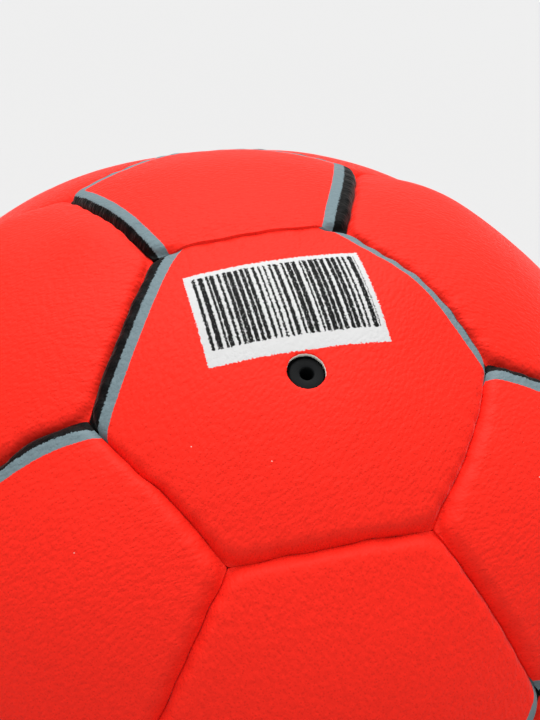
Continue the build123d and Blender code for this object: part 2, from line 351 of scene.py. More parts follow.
# Seams drawn off their even pattern: direction of the place, move and reach in millimetres
SEAM_DRIFTS = (
    ((-0.20, -0.28, 0.94), (-1.45, 0.6, -0.1), 14),
    ((0.20, -0.28, 0.94), (-0.55, 0.75, 0.4), 14),
    ((0.31, -0.43, 0.85), (1.6, 1.8, 0.3), 11),
    ((0.40, -0.56, 0.73), (1.6, 1.55, 0.3), 15),
    ((0.32, -0.69, 0.65), (1.35, 0.3, -0.35), 11),
    ((0.20, -0.83, 0.51), (1.15, 0.75, 0.75), 15),
    ((-0.02, -0.85, 0.53), (0.15, 0.3, 0.55), 11),
    ((-0.20, -0.83, 0.51), (-0.55, 0.05, -0.1), 14),
    ((-0.30, -0.72, 0.63), (0.7, 0.05, 0.4), 11),
    ((-0.40, -0.56, 0.73), (-1.1, -0.05, -0.65), 14),
    ((-0.30, -0.44, 0.84), (-0.5, 0.25, 0), 11),
    ((-0.50, -0.53, 0.69), (0.25, 1.05, 1.0), 10),
    ((0.40, -0.90, 0.17), (1.85, 0.15, -3.0), 14),
    ((0.32, -0.89, 0.34), (0.6, 0.15, -0.2), 11),
    ((-0.32, 0.08, 0.94), (-0.25, 3.0, -0.3), 12),
)


def plain_panels(valve_place):
    """Indices of the hexagons without stripes of their own: all but two chains on opposite sides."""
    below, left_pentagon = (PANEL_AXES[valve_place.neighbours[k]] for k in (3, 2))
    nearness = HEXAGON_AXES @ (below + left_pentagon - valve_place.axis)
    beyond = HEXAGON_AXES[np.argmax(nearness)]
    chain = np.array([valve_place.axis, below, beyond])
    banded = {panel_at(axis) for axis in (*chain, *-chain)}
    return set(range(len(PENTAGON_AXES), len(PANEL_AXES))) - banded


class PanelForm:
    """Surface of one padded panel, worked out from its flat plan."""

    def __init__(self, place, shape):
        self.place = place
        self.shape = shape
        self.radius = shape.ball_diameter / 2
        self.inset = shape.seam_gap / 2
        self.roll = shape.edge_round
        self.roll_length = self.roll * pi / 2
        self.reach = self.radius * sin(place.half_angle)
        self.unrolled = self.roll_length + self.reach - self.inset - self.roll
        self.apothem = tan(place.half_angle)

    def rim(self, turns):
        """Plan radius of the panel's rounded outline at the given turns about its axis."""
        sector = 2 * pi / self.place.sides
        off_edge = np.abs((turns + sector / 2) % sector - sector / 2)
        straight = self.apothem / np.cos(off_edge)
        corner = self.shape.corner_round / self.radius
        centre = (self.apothem - corner) / cos(sector / 2)
        off_corner = sector / 2 - off_edge
        inside = np.maximum(corner**2 - (centre * np.sin(off_corner)) ** 2, 0)
        rounded = centre * np.cos(off_corner) + np.sqrt(inside)
        past = straight * np.sin(off_edge) > (self.apothem - corner) * tan(sector / 2)
        return np.where(past, rounded, straight)

    def plan(self, flat):
        """Spreads a flat polygon of apothem one over the plan, with the rolled edge unrolled."""
        turns = np.arctan2(flat[:, 1], flat[:, 0])
        sector = 2 * pi / self.place.sides
        off_edge = (turns + sector / 2) % sector - sector / 2
        share = np.hypot(flat[:, 0], flat[:, 1]) * np.cos(off_edge)
        depth = self.unrolled * (1 - share)
        angle = np.clip((self.roll_length - depth) / self.roll, 0, pi / 2)
        rolled = self.inset + self.roll * (1 - np.sin(angle))
        inner = self.inset + self.roll + depth - self.roll_length
        distance = np.where(depth < self.roll_length, rolled, inner)
        size = self.rim(turns) * (1 - distance / self.reach)
        return np.column_stack([size * np.cos(turns), size * np.sin(turns)])

    def unroll(self, distance):
        """Roll angle and unrolled depth at a distance from the seam's plane."""
        angle = np.arcsin(np.clip(1 - (distance - self.inset) / self.roll, 0, 1))
        beyond = self.roll_length + distance - self.inset - self.roll
        depth = np.where(angle > 0, self.roll_length - self.roll * angle, beyond)
        return angle, depth

    def drop(self, angle, directions):
        """How far the rolled cover lies below its crown: it rolls in more tightly near the ball's top."""
        rise = directions @ self.place.frame[:, 2]
        tight = np.clip((rise - TIGHT_FROM) / TIGHT_RAMP, 0, 1)
        power = SOFT_ROLL + (TIGHT_ROLL - SOFT_ROLL) * tight
        return self.shape.roll_depth * (1 - TIGHT_LIFT * tight) * np.sin(angle) ** power

    def crown(self, directions):
        """Distance from the ball's centre to the panel's crown along local directions."""
        centre = self.radius - self.shape.crown_radius
        rise = directions[:, 2]
        return centre * rise + np.sqrt(self.shape.crown_radius**2 - centre**2 * (1 - rise**2))

    def soft_distance(self, distances):
        """Distance from the nearest seam, with the two edges of a corner run together."""
        blend = self.shape.corner_blend
        least = distances.min(axis=1)
        return least - blend * np.log(np.exp((least[:, None] - distances) / blend).sum(axis=1))

    def edge_distances(self, plan):
        """Distance of each plan point from the plane of each seam."""
        normals = np.array([(cos(turn), sin(turn)) for turn in self.place.edge_turns])
        return self.reach * (1 - plan @ normals.T / self.apothem)

    def stitch_phase(self, plan, nearest):
        """Place along the nearest seam, counted in stitches from its middle."""
        turns = np.array(self.place.edge_turns)[nearest]
        sideways = plan[:, 1] * np.cos(turns) - plan[:, 0] * np.sin(turns)
        angle = np.arctan(sideways * cos(self.place.half_angle))
        return angle * self.shape.stitch_radius / self.shape.stitch_pitch


def flat_panel(sides, cuts, turned_rings):
    """Flat polygon of apothem one in a triangle grid, with rings at its rim for the turned edge."""
    bm = bmesh.new()
    corner = 1 / cos(pi / sides)
    made = bmesh.ops.create_circle(bm, cap_ends=True, cap_tris=True, segments=sides, radius=corner)
    first = max(made["verts"], key=lambda v: v.co.length).co
    turn = pi / sides + Vector((1, 0)).angle_signed(first.xy)
    bmesh.ops.rotate(bm, verts=bm.verts, matrix=Matrix.Rotation(turn, 3, "Z"))
    bmesh.ops.subdivide_edges(bm, edges=bm.edges[:], cuts=cuts, use_grid_fill=True)
    bm.faces.ensure_lookup_table()
    if bm.faces[0].normal.z < 0:
        bmesh.ops.reverse_faces(bm, faces=bm.faces)
    turned = bm.verts.layers.float.new("turned")
    rim = [edge for edge in bm.edges if edge.is_boundary]
    for ring in range(1, turned_rings + 1):
        made = bmesh.ops.extrude_edge_only(bm, edges=rim)["geom"]
        for vert in (item for item in made if isinstance(item, bmesh.types.BMVert)):
            vert[turned] = ring / turned_rings
        rim = [item for item in made if isinstance(item, bmesh.types.BMEdge) and item.is_boundary]
    return bm, turned


def cut_round_hole(bm, centre, radius):
    """Opens a round hole with a slightly ragged rim in a flat grid, on finer triangles."""

    def reach(vert):
        return (vert.co.xy - centre).length

    close = [e for e in bm.edges if all(reach(v) < radius * FINER_REACH for v in e.verts)]
    bmesh.ops.subdivide_edges(bm, edges=close, cuts=1, use_grid_fill=True)
    inside = [v for v in bm.verts if reach(v) < radius * OPEN_REACH]
    bmesh.ops.delete(bm, geom=inside, context="VERTS")
    rim = [v for v in bm.verts if v.is_boundary and reach(v) < radius * RIM_REACH]
    rim.sort(key=lambda v: Vector((1, 0)).angle_signed(v.co.xy - centre))
    start = Vector((1, 0)).angle_signed(rim[0].co.xy - centre)
    fray = np.random.default_rng(7).uniform(LEAST_FRAY, MOST_FRAY, len(rim))
    for k, vert in enumerate(rim):
        turn = -start - 2 * pi * k / len(rim)
        vert.co.xy = centre + Vector((cos(turn), sin(turn))) * radius * fray[k]
    kept = set(rim)
    around = [v for v in bm.verts if reach(v) < radius * SMOOTH_REACH and v not in kept]
    for _ in range(SMOOTH_PASSES):
        bmesh.ops.smooth_vert(bm, verts=around, factor=0.5, use_axis_x=True, use_axis_y=True)


def soft_noise(points, scale, seed):
    """Smooth noise at points, one value each, for a given size of swell."""
    shift = Vector((seed * 17.3, seed * 5.9, seed * 11.7))
    return np.array([noise.noise(Vector(p) / scale + shift) for p in points])


def level_fill(form, plan, distances, directions):
    """Height that fills the roll along a seam that lies almost level with its panels."""
    fill = np.zeros(len(plan))
    for k, beyond in enumerate(form.place.neighbours):
        share = LEVEL_SEAMS.get(frozenset((form.place.index, beyond)), 0)
        angle, _ = form.unroll(distances[:, k])
        along = np.abs(form.stitch_phase(plan, k)) / form.shape.stitch_count
        middle = np.clip((0.5 - along) / LEVEL_FADE, 0, 1)
        fill += share * form.drop(angle, directions) * middle**2 * (3 - 2 * middle)
    return fill


def closeness(directions, middle, reach):
    """1 at a direction, falling to 0 beyond a reach given in radians."""
    cosine = np.clip(directions @ unit(middle), -1, 1)
    return np.exp(-((np.arccos(cosine) / reach) ** 2))


def uneven_fill(form, directions, depth):
    """Height that the uneven filling under this panel adds."""
    fill = np.zeros(len(depth))
    off_seam = 1 - np.exp(-((depth / SWELL_FADE) ** 2))
    for middle, height, reach in SWELLS:
        if panel_at(middle) == form.place.index:
            share = closeness(directions, form.place.frame @ unit(middle), reach * MM / form.radius)
            fill += height * MM * share * off_seam
    return fill


def seam_drift(directions, radius):
    """How far hand stitching has drawn places on the ball off their even pattern."""
    drift = np.zeros_like(directions)
    for middle, move, reach in SEAM_DRIFTS:
        share = closeness(directions, middle, reach * MM / radius)
        drift += share[:, None] * np.array(move) * MM
    return drift


def lift_panel(form, plan, turned, seed):
    """Places of the panel's points on the ball, and the measures that its finish reads."""
    place, shape = form.place, form.shape
    distances = form.edge_distances(plan)
    turns = np.arctan2(plan[:, 1], plan[:, 0])
    angle, depth = form.unroll(form.soft_distance(distances))
    nearest = np.argmin(distances, axis=1)
    directions = np.column_stack([plan, np.ones(len(plan))])
    directions /= np.linalg.norm(directions, axis=1)[:, None]
    sunk = np.maximum(form.inset - form.soft_distance(distances), 0) * CORNER_SINK
    height = form.crown(directions) - form.drop(angle, directions) - sunk
    height += level_fill(form, plan, distances, directions) + uneven_fill(form, directions, depth)
    height += (shape.flange_tip - height) * turned
    points = directions * height[:, None]

    outward = np.column_stack([np.cos(turns), np.sin(turns), np.zeros(len(plan))])
    normals = directions * np.cos(angle)[:, None] + outward * np.sin(angle)[:, None]
    phase = form.stitch_phase(plan, nearest)
    row_end = shape.stitch_count / 2 + STITCH_ROW_END
    along_row = np.clip((row_end - np.abs(phase)) / STITCH_ROW_FADE, 0, 1)
    stitch = np.round(phase).astype(int) + shape.stitch_count
    pulls = (place.sides, 2 * shape.stitch_count + 1)
    strength = np.random.default_rng(seed).uniform(WEAKEST_PULL, STRONGEST_PULL, pulls)
    pull = strength[nearest, np.clip(stitch, 0, 2 * shape.stitch_count)]
    draw = (0.5 + 0.5 * np.cos(2 * pi * phase)) * pull * along_row * np.cos(angle)
    fade = np.exp(-((np.maximum(depth - form.roll_length / 3, 0) / shape.pucker_reach) ** 2))
    points -= normals * (shape.pucker_depth * draw * fade * (1 - turned))[:, None]

    on_ball = points @ place.frame
    swell = sum(size * MM * soft_noise(on_ball, scale * MM, k) for size, scale, k in COVER_SWELLS)
    for size, scale, reach, first in SEAM_WAVERS:
        near_seam = np.exp(-((depth / (reach * MM)) ** 2)) * size * MM
        wander = np.column_stack([soft_noise(on_ball, scale * MM, first + k) for k in range(3)])
        on_ball += wander * near_seam[:, None]
    outwards = directions @ place.frame
    on_ball += outwards * swell[:, None] + seam_drift(outwards, form.radius)

    rims = form.rim(turns) * form.radius
    turned_depth = turned * (form.radius - shape.flange_tip)
    measures = {
        "seam_depth": (depth - turned_depth) / MM,
        "rim_place": np.column_stack([rims * np.cos(turns), rims * np.sin(turns), depth]) / MM,
        "flat_place": flat_places(form, on_ball) / MM,
    }
    return on_ball, distances, turned_depth, measures


def flat_places(form, on_ball):
    """Places on the panel as if it were laid flat, right and up as seen with its first edge on top."""
    local = on_ball @ form.place.frame.T
    plan = local[:, :2] / local[:, 2:]
    size = np.hypot(plan[:, 0], plan[:, 1])
    spread = form.radius * np.arctan(size) / np.maximum(size, 1e-9)
    return np.column_stack([-plan[:, 1] * spread, plan[:, 0] * spread, np.zeros(len(plan))])


def striped_depth(form, distances, turned_depth, plain):
    """Unrolled depth from the nearest edge that has the printed stripes."""
    place = form.place
    striped = [k for k, panel in enumerate(place.neighbours) if panel in plain]
    if place.index in plain or not striped:
        return np.full(len(distances), NO_STRIPE)
    moves = [place.frame @ move for where, move in PRINT_MOVES if panel_at(where) == place.index]
    move = sum(moves, np.zeros(3))
    across, along = np.array(move[:2]) * MM
    shifts = [across * cos(place.edge_turns[k]) + along * sin(place.edge_turns[k]) for k in striped]
    depths = [form.unroll(distances[:, k])[1] + shift for k, shift in zip(striped, shifts)]
    return (np.min(depths, axis=0) - turned_depth) / MM


def store(mesh, measures):
    """Keeps each measure on the mesh's points under its own name."""
    for name, values in measures.items():
        kind, key = ("FLOAT_VECTOR", "vector") if values.ndim == 2 else ("FLOAT", "value")
        layer = mesh.attributes.new(name, kind, "POINT")
        layer.data.foreach_set(key, values.astype(np.float32).ravel())


def mesh_from(bm, name):
    """Mesh of a finished shape."""
    mesh = bpy.data.meshes.new(name)
    bm.to_mesh(mesh)
    bm.free()
    return mesh


def in_scene(name, data):
    """Object with its data, put in the scene."""
    made = bpy.data.objects.new(name, data)
    bpy.context.scene.collection.objects.link(made)
    return made


def cover_piece(place, plain, shape, valve, finishes):
    """One padded cover panel, in place of its node."""
    form = PanelForm(place, shape)
    bm, turned = flat_panel(place.sides, shape.mesh_cuts, TURNED_RINGS)
    plan = form.plan(np.array([v.co.xy for v in bm.verts]))
    for vert, spot in zip(bm.verts, plan):
        vert.co = (*spot, 0)
    if place.node == VALVE_PANEL:
        local = place.frame @ NEEDLE_AXIS_POINT
        centre = Vector((local[0], local[1] + valve.hole_offset)) / form.radius
        cut_round_hole(bm, centre, valve.hole_diameter / 2 / form.radius)
    plan = np.array([v.co.xy for v in bm.verts])
    turned_share = np.array([v[turned] for v in bm.verts])
    seed = place.index + 1
    points, distances, turned_depth, measures = lift_panel(form, plan, turned_share, seed)
    measures["stripe_depth"] = striped_depth(form, distances, turned_depth, plain)
    grain = np.random.default_rng(seed)
    spin = grain.uniform(0, 2 * pi)
    laid = measures["flat_place"]
    across = laid[:, 0] * cos(spin) - laid[:, 1] * sin(spin)
    upward = laid[:, 0] * sin(spin) + laid[:, 1] * cos(spin)
    measures["grain_place"] = np.column_stack([across, upward, np.full(len(laid), seed * 40.0)])
    for vert, point in zip(bm.verts, points):
        vert.co = point
    mesh = mesh_from(bm, "cover_" + place.node)
    mesh.attributes.remove(mesh.attributes["turned"])
    store(mesh, measures)
    mesh.shade_smooth()
    piece = in_scene("cover_" + place.node, mesh)
    for finish in finishes:
        mesh.materials.append(finish)
    wall = piece.modifiers.new("Wall", "SOLIDIFY")
    wall.thickness = shape.wall
    wall.offset = -1
    wall.material_offset = 1
    wall.material_offset_rim = 1
    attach(piece, BALL_BODY)
    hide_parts(place.node)
    return piece


class NodeSheet:
    """Small helper that lays out the nodes of one material."""

    def __init__(self, name):
        self.material = bpy.data.materials.new(name)
        self.material.use_nodes = True
        self.tree = self.material.node_tree
        self.shader = self.tree.nodes["Principled BSDF"]

    def add(self, kind, sockets=None, **settings):
        """Adds a node, with its settings, and values or links on its sockets."""
        made = self.tree.nodes.new("ShaderNode" + kind)
        for name, value in settings.items():
            setattr(made, name, value)
        for name, value in (sockets or {}).items():
            self.feed(made.inputs[name], value)
        return made

    def feed(self, socket, value):
        """Links an output to a socket, or sets the socket's own value."""
        if isinstance(value, bpy.types.NodeSocket):
            self.tree.links.new(value, socket)
        else:
            socket.default_value = value

    def shade(self, sockets):
        """Values or links on the sockets of the surface itself."""
        for name, value in sockets.items():
            self.feed(self.shader.inputs[name], value)

    def place(self):
        """Places on the piece itself."""
        return self.add("TexCoord").outputs["Object"]

    def attribute(self, name, output="Fac"):
        """A measure kept on the mesh."""
        return self.add("Attribute", attribute_name=name).outputs[output]

    def math(self, operation, a, b=0.0, c=0.0):
        """One arithmetic step."""
        return self.add("Math", {0: a, 1: b, 2: c}, operation=operation).outputs[0]

    def band(self, value, low, high):
        """0 below low, 1 above high and a soft step between."""
        made = self.add("MapRange", {"Value": value, "From Min": low, "From Max": high})
        made.interpolation_type = "SMOOTHSTEP"
        return made.outputs["Result"]

    def spread(self, value, low, high):
        """A value from 0 to 1 spread from low to high."""
        sockets = {"Value": value, "To Min": low, "To Max": high}
        return self.add("MapRange", sockets).outputs["Result"]

    def noise(self, vector, scale, detail=2.0, roughness=0.5):
        """Noise values at a vector."""
        sockets = {"Vector": vector, "Scale": scale, "Detail": detail, "Roughness": roughness}
        return self.add("TexNoise", sockets).outputs["Fac"]

    def mapped(self, vector, scale, location=(0, 0, 0), rotation=(0, 0, 0)):
        """A vector moved, turned and stretched."""
        sockets = {"Vector": vector, "Scale": scale, "Location": location, "Rotation": rotation}
        return self.add("Mapping", sockets).outputs["Vector"]

    def mix(self, factor, a, b):
        """Colour between two."""
        made = self.add("Mix", data_type="RGBA")
        self.feed(made.inputs["Factor"], factor)
        self.feed(made.inputs["A"], a if isinstance(a, bpy.types.NodeSocket) else (*a, 1))
        self.feed(made.inputs["B"], b if isinstance(b, bpy.types.NodeSocket) else (*b, 1))
        return made.outputs["Result"]

    def bump(self, height, strength, distance):
        """Relief from a height in the sheet."""
        sockets = {"Height": height, "Strength": strength, "Distance": distance}
        return self.add("Bump", sockets).outputs["Normal"]


def leather_relief(sheet, seam_depth):
    """Height in millimetres of the grain: pebbles, pores, and the wrinkles beside the seams."""
    grain_place = sheet.attribute("grain_place", "Vector")
    sway = sheet.add("TexNoise", {"Vector": grain_place, "Scale": 0.7, "Detail": 2.0}).outputs["Color"]
    swayed = sheet.add("VectorMath", {0: grain_place, 1: sway}, operation="ADD").outputs["Vector"]
    long_place = sheet.mapped(swayed, (0.7, 1.25, 1.0))
    pebbles = sheet.add(
        "TexVoronoi", {"Vector": long_place, "Scale": 1.1, "Smoothness": 0.5}, feature="SMOOTH_F1"
    ).outputs["Distance"]
    drawn = {0: sway, 1: (0.3, 0.3, 0.3), 2: grain_place}
    drawn_place = sheet.add("VectorMath", drawn, operation="MULTIPLY_ADD").outputs["Vector"]
    pits = sheet.add("TexVoronoi", {"Vector": drawn_place, "Scale": 1.45}, voronoi_dimensions="2D")
    deep = sheet.add("SeparateColor", {"Color": pits.outputs["Color"]}).outputs["Red"]
    hollow = sheet.band(pits.outputs["Distance"], 0.34, 0.05)
    pores = sheet.math("MULTIPLY", hollow, sheet.band(deep, 0.0, 0.6))
    fine = sheet.noise(grain_place, 2.4, 3.0, 0.6)
    beside = sheet.band(seam_depth, 12.0, 3.0)
    rim_place = sheet.attribute("rim_place", "Vector")
    folds = sheet.noise(sheet.mapped(rim_place, (0.9, 0.9, 0.6)), 1.0, 3.0, 0.6)
    height = sheet.math("MULTIPLY", pebbles, -0.15)
    height = sheet.math("MULTIPLY_ADD", pores, -0.025, height)
    height = sheet.math("MULTIPLY_ADD", fine, 0.03, height)
    height = sheet.math("MULTIPLY_ADD", sheet.math("MULTIPLY", folds, beside), 0.11, height)
    return height, pores, fine


def lint(sheet, base):
    """Cover colour with a few tiny pale flecks lying on it."""
    grain_place = sheet.attribute("grain_place", "Vector")
    spots = sheet.add("TexVoronoi", {"Vector": grain_place, "Scale": 0.14})
    fleck = sheet.band(spots.outputs["Distance"], 0.024, 0.012)
    return sheet.mix(fleck, base, (0.9, 0.45, 0.4))


def striped_colour(sheet, finish, base):
    """Cover colour with the printed stripes along the edges that have them."""
    stripe_depth = sheet.attribute("stripe_depth")
    grain_place = sheet.attribute("grain_place", "Vector")
    jitter = sheet.noise(grain_place, 2.6, 2.0, 0.7)
    ragged = sheet.math("MULTIPLY_ADD", jitter, 1.2, stripe_depth)
    even = sheet.math("MULTIPLY_ADD", jitter, 0.5, stripe_depth)
    black_end = finish.black_width / MM
    grey_end = black_end + finish.grey_width / MM
    in_grey = sheet.band(even, grey_end + 0.3, grey_end + 0.2)
    in_black = sheet.band(ragged, black_end + 0.6, black_end + 0.5)
    striped = sheet.mix(in_grey, base, finish.grey)
    return sheet.mix(in_black, striped, finish.black)


def block_print(sheet, finish, block, base):
    """White printed block with plain bars of formula-made widths."""
    flat_place = sheet.attribute("flat_place", "Vector")
    jitter = sheet.add("TexNoise", {"Vector": flat_place, "Scale": 2.8, "Detail": 2.0})
    middle_grey = {0: jitter.outputs["Color"], 1: (0.5, 0.5, 0.5)}
    centred = sheet.add("VectorMath", middle_grey, operation="SUBTRACT").outputs["Vector"]
    shaken = {0: centred, 1: (0.9, 0.9, 0), 2: flat_place}
    ragged = sheet.add("VectorMath", shaken, operation="MULTIPLY_ADD")
    middle = Vector((block.sideways, block.above, 0)) / MM
    turned = Matrix.Rotation(-block.turn, 3, "Z") @ middle
    placed = sheet.mapped(ragged.outputs["Vector"], (1, 1, 1), tuple(-turned), (0, 0, -block.turn))
    apart = sheet.add("SeparateXYZ", {"Vector": placed})
    sideways, upward = apart.outputs["X"], apart.outputs["Y"]
    half_width, half_height = block.width / MM / 2, block.height / MM / 2
    across = sheet.math("ABSOLUTE", sideways)
    in_width = sheet.band(across, half_width + 0.06, half_width - 0.06)
    in_height = sheet.band(sheet.math("ABSOLUTE", upward), half_height + 0.06, half_height - 0.06)
    in_block = sheet.math("MULTIPLY", in_width, in_height)
    white = sheet.mix(in_block, base, finish.white)
    place_in_row = sheet.math("DIVIDE", sideways, block.bar_pitch / MM)
    number = sheet.math("FLOOR", place_in_row)
    chance = sheet.add("TexWhiteNoise", {"W": number}, noise_dimensions="1D")
    shift = sheet.add("SeparateColor", {"Color": chance.outputs["Color"]}).outputs["Green"]
    width = sheet.math("MULTIPLY_ADD", chance.outputs["Value"], 0.56, 0.36)
    start = sheet.math("MULTIPLY", sheet.math("SUBTRACT", 0.97, width), shift)
    within = sheet.math("SUBTRACT", sheet.math("FRACT", place_in_row), start)
    past_start = sheet.math("GREATER_THAN", within, 0.0)
    before_end = sheet.math("LESS_THAN", within, width)
    dark = sheet.math("MULTIPLY", past_start, before_end)
    flecks = sheet.band(sheet.noise(flat_place, 3.4, 2.0), 0.69, 0.66)
    dark = sheet.math("MULTIPLY", dark, flecks)
    margin, foot = 1.0, 3.1
    bars_wide = sheet.band(across, half_width - margin + 0.05, half_width - margin - 0.05)
    bars_top = sheet.band(upward, half_height - margin + 0.05, half_height - margin - 0.05)
    bars_foot = sheet.band(upward, foot - half_height - 0.05, foot - half_height + 0.05)
    inside = sheet.math("MULTIPLY", sheet.math("MULTIPLY", bars_top, bars_foot), bars_wide)
    return sheet.mix(sheet.math("MULTIPLY", dark, inside), white, finish.black), in_block


def cover_finish(name, finish, block=None):
    """Grained cover material, with the printed block where one is given."""
    sheet = NodeSheet(name)
    seam_depth = sheet.attribute("seam_depth")
    height, pores, fine = leather_relief(sheet, seam_depth)
    grain_place = sheet.attribute("grain_place", "Vector")
    mottle = sheet.noise(grain_place, 0.8, 3.0)
    deep = tuple(channel * 0.94 for channel in finish.red)
    base = sheet.mix(sheet.band(mottle, 0.3, 0.7), deep, finish.red)
    base = sheet.mix(pores, base, tuple(channel * 0.84 for channel in finish.red))
    colour = striped_colour(sheet, finish, lint(sheet, base))
    if block is not None:
        colour, in_block = block_print(sheet, finish, block, colour)
        height = sheet.math("MULTIPLY", height, sheet.math("MULTIPLY_ADD", in_block, -0.5, 1.0))
    sheet.shade(
        {
            "Base Color": colour,
            "Roughness": sheet.spread(fine, 0.44, 0.62),
            "Normal": sheet.bump(height, 1.0, MM),
            "Specular IOR Level": 0.06,
            "Sheen Weight": 0.13,
            "Sheen Roughness": 0.3,
            "Sheen Tint": (1.0, 0.95, 0.9, 1.0),
        }
    )
    return sheet.material


def painted_hole_shade(sheet, place, colour):
    """Colour with painted shade round the valve, low in its hole: a dark ring where the layers lie in
    shadow.
    """
    from_axis = sheet.add("VectorMath", {0: place, 1: NEEDLE_AXIS_POINT}, operation="SUBTRACT")
    turned = {0: from_axis.outputs["Vector"], 1: VALVE_AXIS}
    swept = sheet.add("VectorMath", turned, operation="CROSS_PRODUCT").outputs["Vector"]
    away = sheet.add("VectorMath", {0: swept}, operation="LENGTH").outputs["Value"]
    out = sheet.add("VectorMath", {0: place}, operation="LENGTH").outputs["Value"]
    frayed = sheet.noise(place, 1 / (0.8 * MM), 2.0, 0.6)
    level = sheet.math("MULTIPLY_ADD", frayed, 0.9 * MM, out)
    top = CAD_BOX[1].z - HOLE_SHADE_BELOW_TOP
    low = sheet.band(level, top, top - 0.1 * MM)
    near = sheet.band(away, HOLE_SHADE_OUTER, HOLE_SHADE_INNER)
    # Painted shade: near-black where the hole is deep and close to the valve's axis
    return sheet.mix(sheet.math("MULTIPLY", low, near), colour, (0.006, 0.006, 0.006))


def backing_finish(finish):
    """Woven cloth behind the cover material, which shows where it is cut, with painted shade low in the
    valve's hole.
    """
    sheet = NodeSheet("cover_backing")
    place = sheet.place()
    weave = sheet.noise(place, 1 / (0.4 * MM), 3.0, 0.7)
    dark = tuple(channel * 0.75 for channel in finish.backing)
    woven = sheet.mix(weave, dark, finish.backing)
    relief = sheet.bump(weave, 0.8, 0.1 * MM)
    # The cut cloth carries painted shade low in the valve's hole
    sheet.shade({"Base Color": painted_hole_shade(sheet, place, woven), "Normal": relief, "Roughness": 0.9})
    return sheet.material


def rubber_finish(name, colour, grain=0.25):
    """Moulded matte rubber."""
    sheet = NodeSheet(name)
    place = sheet.place()
    moulded = sheet.noise(place, 1 / (0.35 * MM), 3.0, 0.6)
    pale = tuple(channel * 1.4 + 0.002 for channel in colour)
    sheet.shade(
        {
            "Base Color": sheet.mix(moulded, colour, pale),
            "Roughness": sheet.spread(moulded, 0.42, 0.62),
            "Normal": sheet.bump(moulded, grain, 0.05 * MM),
            "Specular IOR Level": 0.06,
        }
    )
    return sheet.material


def woven_finish(name, colour, thread):
    """Plain-woven cloth of a given thread width."""
    sheet = NodeSheet(name)
    place = sheet.place()
    sockets = {"Vector": place, "Scale": 1 / thread / 6, "Distortion": 0.4}
    warp, weft = (sheet.add("TexWave", sockets, bands_direction=way) for way in ("X", "Z"))
    woven = sheet.math("MAXIMUM", warp.outputs["Fac"], weft.outputs["Fac"])
    dark = tuple(channel * 0.6 for channel in colour)
    relief = sheet.bump(woven, 0.6, thread / 4)
    sheet.shade({"Base Color": sheet.mix(woven, dark, colour), "Normal": relief, "Roughness": 0.88})
    return sheet.material


def foam_finish():
    """Closed-cell foam, with painted shade low in the valve's hole."""
    sheet = NodeSheet("foam_cells")
    place = sheet.place()
    cells = sheet.add("TexVoronoi", {"Vector": place, "Scale": 1 / (0.6 * MM)})
    cell = cells.outputs["Distance"]
    porous = sheet.mix(cell, (0.62, 0.58, 0.47), (0.78, 0.75, 0.66))
    relief = sheet.bump(cell, 0.6, 0.15 * MM)
    # The foam carries painted shade low in the valve's hole
    sheet.shade({"Base Color": painted_hole_shade(sheet, place, porous), "Normal": relief, "Roughness": 0.85})
    return sheet.material


class HandballOperator:
    """What the operators of this file share."""

    bl_options = {"REGISTER", "UNDO"}


class HANDBALL_OT_covers(HandballOperator, bpy.types.Operator):
    """Makes the padded cover panels with their stripes and the printed block"""

    bl_idname = "handball.covers"
    bl_label = "Cover Panels"

    def execute(self, context):
        scene = context.scene
        shape, finish = scene.handball_shape, scene.handball_finish
        backing = backing_finish(finish)
        plain_cover = [cover_finish("cover_red", finish), backing]
        printed_cover = [cover_finish("cover_red_printed", finish, scene.handball_block), backing]
        places = panel_places()
        plain = plain_panels(places[VALVE_PANEL])
        for node, place in places.items():
            finishes = printed_cover if node == VALVE_PANEL else plain_cover
            cover_piece(place, plain, shape, scene.handball_valve, finishes)
        return {"FINISHED"}


